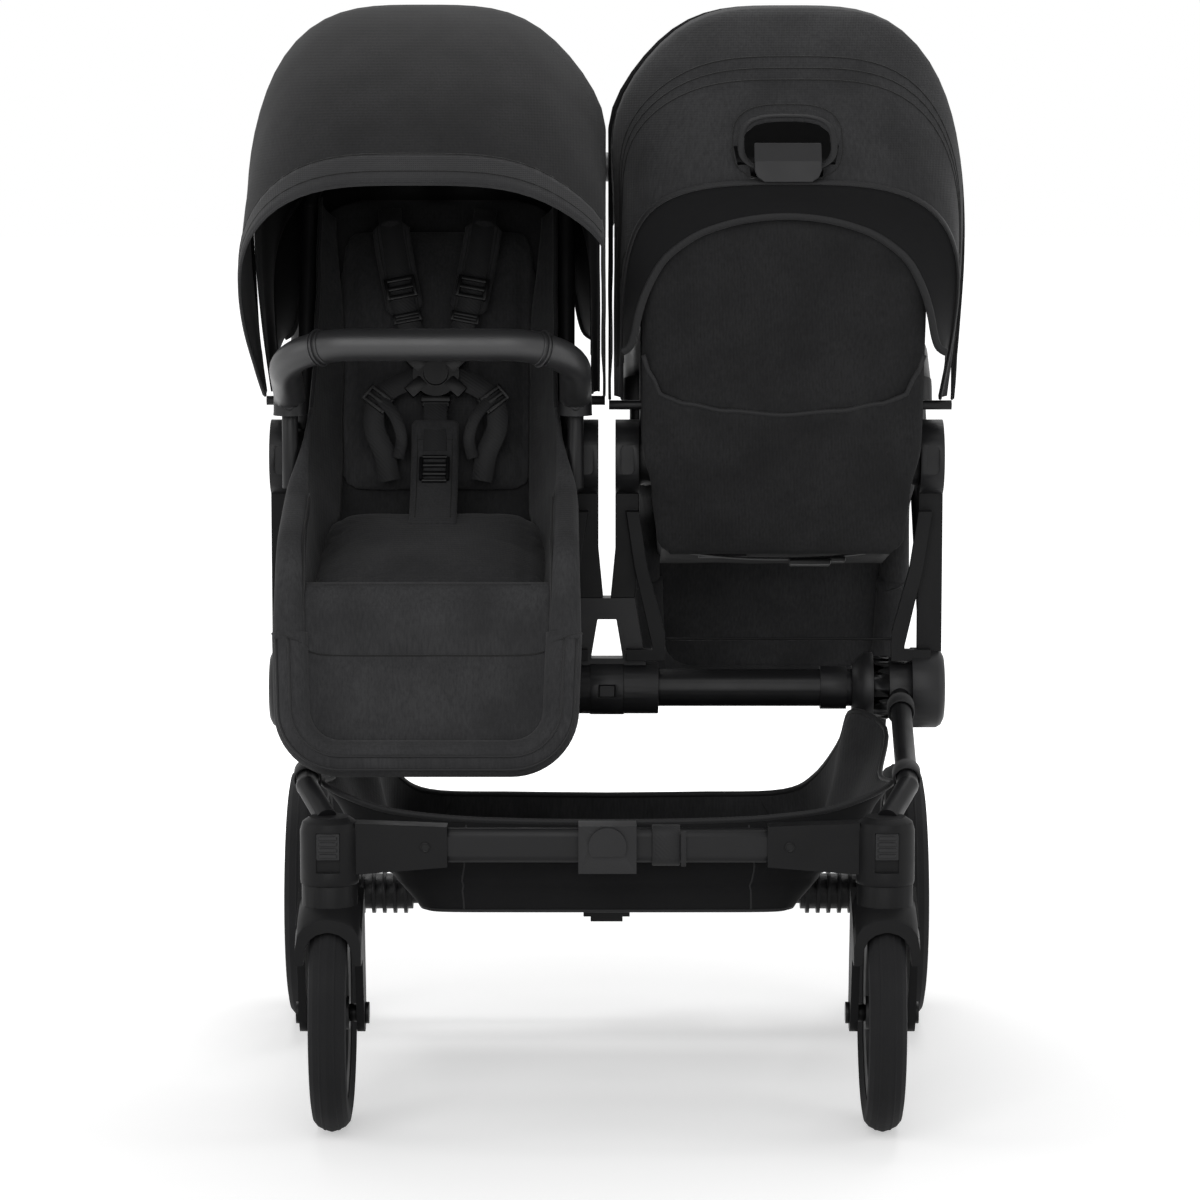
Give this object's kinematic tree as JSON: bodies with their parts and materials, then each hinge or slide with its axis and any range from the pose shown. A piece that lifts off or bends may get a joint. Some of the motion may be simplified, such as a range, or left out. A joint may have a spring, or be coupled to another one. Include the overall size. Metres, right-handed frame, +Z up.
{
  "type": "side by side double stroller",
  "caption": "Side by side double stroller with one seat facing forward and one facing the pusher, canopies, basket, caster front wheels and an adjustable handlebar.",
  "frame": {"origin": "on the ground, under the middle of the bounding box", "axes": "+X to the stroller's left seen from the pusher turned round, right in the front view; +Y to the rear, towards the pusher; +Z up"},
  "size_m": [0.729, 0.94, 1.134],
  "materials": {
    "frame_tube": "satin black",
    "moulded_plastic": "fine grain",
    "canvas": "woven",
    "leatherette": "grained",
    "tyre_foam": "matte",
    "steel": "satin"
  },
  "bodies": {
    "chassis": {"main_cross_tube": "frame_tube", "centre_sleeve": "moulded_plastic", "centre_bracket": "frame_tube", "hub_covers": "moulded_plastic", "front_legs": "frame_tube", "front_crossbar": "frame_tube", "crossbar_latch": "moulded_plastic", "fork_housings": "moulded_plastic", "basket": "canvas", "seat_arms_outer": "frame_tube", "seat_arms_inner": "frame_tube", "seat_pods": "moulded_plastic", "push_tubes": "frame_tube", "push_collars": "moulded_plastic"},
    "centre_button": {"centre_button": "moulded_plastic"},
    "handlebar": {"handlebar": "frame_tube", "grip": "leatherette"},
    "rear_frame": {"rear_legs": "frame_tube", "rear_axle": "frame_tube"},
    "brake": {"brake_pedal": "moulded_plastic"},
    "swivel_lock_left": {"swivel_lock_left": "moulded_plastic"},
    "caster_left": {"fork_left": "moulded_plastic", "front_axle_left": "steel"},
    "front_wheel_left": {"front_tyre_left": "tyre_foam", "front_rim_left": "moulded_plastic"},
    "rear_wheel_left": {"rear_tyre_left": "tyre_foam", "rear_rim_left": "moulded_plastic"},
    "seat_left": {"seat_frame_left": "frame_tube", "back_cover_left": "canvas", "backrest_left": "canvas", "cushion_left": "canvas", "liner_left": "canvas", "footrest_left": "canvas", "canopy_rear_left": "canvas", "harness_left": "canvas", "buckle_left": "moulded_plastic"},
    "canopy_left": {"canopy_front_left": "canvas"},
    "bumper_left": {"bumper_left": "leatherette"},
    "recline_lever_left": {"recline_left": "moulded_plastic"},
    "buckle_button_left": {"button_left": "moulded_plastic"},
    "swivel_lock_right": {"swivel_lock_right": "moulded_plastic"},
    "caster_right": {"fork_right": "moulded_plastic", "front_axle_right": "steel"},
    "front_wheel_right": {"front_tyre_right": "tyre_foam", "front_rim_right": "moulded_plastic"},
    "rear_wheel_right": {"rear_tyre_right": "tyre_foam", "rear_rim_right": "moulded_plastic"},
    "seat_right": {"seat_frame_right": "frame_tube", "back_cover_right": "canvas", "backrest_right": "canvas", "cushion_right": "canvas", "liner_right": "canvas", "footrest_right": "canvas", "canopy_rear_right": "canvas", "harness_right": "canvas", "buckle_right": "moulded_plastic"},
    "canopy_right": {"canopy_front_right": "canvas"},
    "bumper_right": {"bumper_right": "leatherette"},
    "recline_lever_right": {"recline_right": "moulded_plastic"},
    "buckle_button_right": {"button_right": "moulded_plastic"}
  },
  "joints": [
    {"name": "centre_button_press", "type": "slide", "parent": "chassis", "child": "centre_button", "axis": [0, 1, 0], "range_m": [0, 0.0015], "stiffness_N_per_m": 400, "springref_m": -0.002},
    {"name": "handlebar_height", "type": "slide", "parent": "chassis", "child": "handlebar", "axis": [0, 0.6809, 0.7324], "range_m": [0, 0.08]},
    {"name": "rear_fold", "type": "hinge", "parent": "chassis", "child": "rear_frame", "pos_m": [0, -0.05, 0.409], "axis": [-1, 0, 0], "range_deg": [0, 55]},
    {"name": "brake_press", "type": "hinge", "parent": "rear_frame", "child": "brake", "pos_m": [0, 0.17, 0.145], "axis": [-1, 0, 0], "range_deg": [0, 16]},
    {"name": "swivel_lock_slide_left", "type": "slide", "parent": "chassis", "child": "swivel_lock_left", "axis": [0, 0, -1], "range_m": [0, 0.012]},
    {"name": "caster_swivel_left", "type": "hinge", "parent": "chassis", "child": "caster_left", "pos_m": [-0.278, -0.385, 0.2], "axis": [0, 0, 1], "continuous": true},
    {"name": "front_wheel_spin_left", "type": "hinge", "parent": "caster_left", "child": "front_wheel_left", "pos_m": [-0.278, -0.35, 0.12], "axis": [1, 0, 0], "continuous": true},
    {"name": "rear_wheel_spin_left", "type": "hinge", "parent": "rear_frame", "child": "rear_wheel_left", "pos_m": [-0.332, 0.17, 0.145], "axis": [1, 0, 0], "continuous": true},
    {"name": "seat_recline_left", "type": "hinge", "parent": "chassis", "child": "seat_left", "pos_m": [-0.183, -0.05, 0.657], "axis": [-1, 0, 0], "range_deg": [0, 25]},
    {"name": "canopy_fold_left", "type": "hinge", "parent": "seat_left", "child": "canopy_left", "pos_m": [-0.183, -0.02, 0.715], "axis": [-1, 0, 0], "range_deg": [0, 50]},
    {"name": "bumper_swing_left", "type": "hinge", "parent": "seat_left", "child": "bumper_left", "pos_m": [-0.333, -0.11, 0.72], "axis": [0, 0, -1], "range_deg": [0, 40]},
    {"name": "recline_lever_pull_left", "type": "slide", "parent": "seat_left", "child": "recline_lever_left", "axis": [0, 0, 1], "range_m": [0, 0.008], "stiffness_N_per_m": 800, "springref_m": -0.004},
    {"name": "buckle_button_press_left", "type": "slide", "parent": "seat_left", "child": "buckle_button_left", "axis": [0, 0.9472, -0.3206], "range_m": [0, 0.0035], "stiffness_N_per_m": 300, "springref_m": -0.002},
    {"name": "swivel_lock_slide_right", "type": "slide", "parent": "chassis", "child": "swivel_lock_right", "axis": [0, 0, -1], "range_m": [0, 0.012]},
    {"name": "caster_swivel_right", "type": "hinge", "parent": "chassis", "child": "caster_right", "pos_m": [0.278, -0.385, 0.2], "axis": [0, 0, 1], "continuous": true},
    {"name": "front_wheel_spin_right", "type": "hinge", "parent": "caster_right", "child": "front_wheel_right", "pos_m": [0.278, -0.35, 0.12], "axis": [1, 0, 0], "continuous": true},
    {"name": "rear_wheel_spin_right", "type": "hinge", "parent": "rear_frame", "child": "rear_wheel_right", "pos_m": [0.332, 0.17, 0.145], "axis": [1, 0, 0], "continuous": true},
    {"name": "seat_recline_right", "type": "hinge", "parent": "chassis", "child": "seat_right", "pos_m": [0.183, -0.05, 0.657], "axis": [1, 0, 0], "range_deg": [0, 25]},
    {"name": "canopy_fold_right", "type": "hinge", "parent": "seat_right", "child": "canopy_right", "pos_m": [0.183, -0.08, 0.715], "axis": [1, 0, 0], "range_deg": [0, 50]},
    {"name": "bumper_swing_right", "type": "hinge", "parent": "seat_right", "child": "bumper_right", "pos_m": [0.333, 0.01, 0.72], "axis": [0, 0, -1], "range_deg": [0, 40]},
    {"name": "recline_lever_pull_right", "type": "slide", "parent": "seat_right", "child": "recline_lever_right", "axis": [0, 0, 1], "range_m": [0, 0.008], "stiffness_N_per_m": 800, "springref_m": -0.004},
    {"name": "buckle_button_press_right", "type": "slide", "parent": "seat_right", "child": "buckle_button_right", "axis": [0, -0.9472, -0.3206], "range_m": [0, 0.0035], "stiffness_N_per_m": 300, "springref_m": -0.002}
  ]
}
